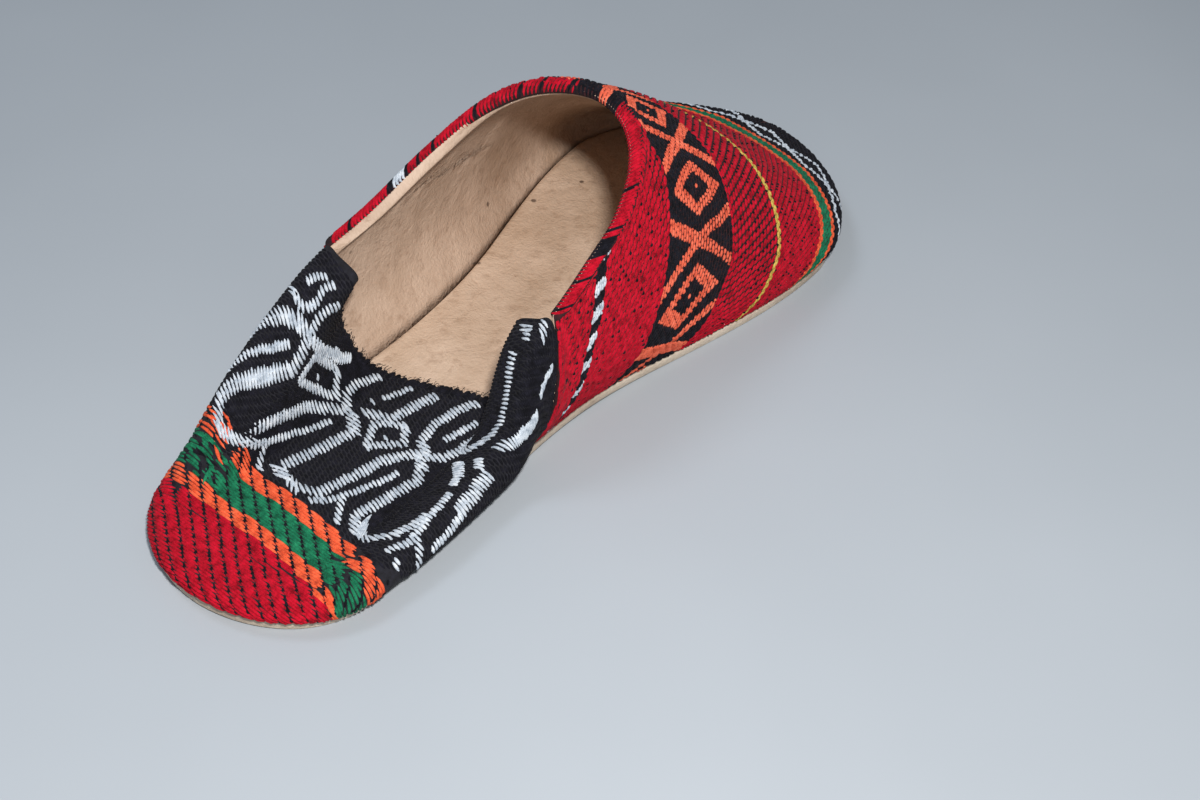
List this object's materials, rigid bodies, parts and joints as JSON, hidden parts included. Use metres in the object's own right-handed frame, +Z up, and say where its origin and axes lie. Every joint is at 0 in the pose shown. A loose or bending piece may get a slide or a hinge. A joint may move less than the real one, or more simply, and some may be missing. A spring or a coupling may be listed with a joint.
{
  "type": "babouche slipper",
  "caption": "Leather-lined kilim cloth babouche with a thin flat sole, an open throat and its back quarter trodden down onto the insole.",
  "frame": {"origin": "on the floor, under the middle of the whole slipper", "axes": "+X to the toe, +Y to the wearer's left, +Z up"},
  "size_m": [0.2528, 0.1004, 0.0692],
  "materials": {
    "sole_leather": "pale, matt and slightly worn",
    "lining_leather": "natural tan, soft sheen",
    "vamp_cloth": "ribbed wool kilim, mostly red, matt",
    "quarter_cloth": "wool kilim, black and white with red, green and orange bands, matt"
  },
  "bodies": {
    "root": {"outsole": "sole_leather", "insole": "lining_leather", "upper": "vamp_cloth", "heel_quarter": "quarter_cloth"}
  },
  "joints": []
}
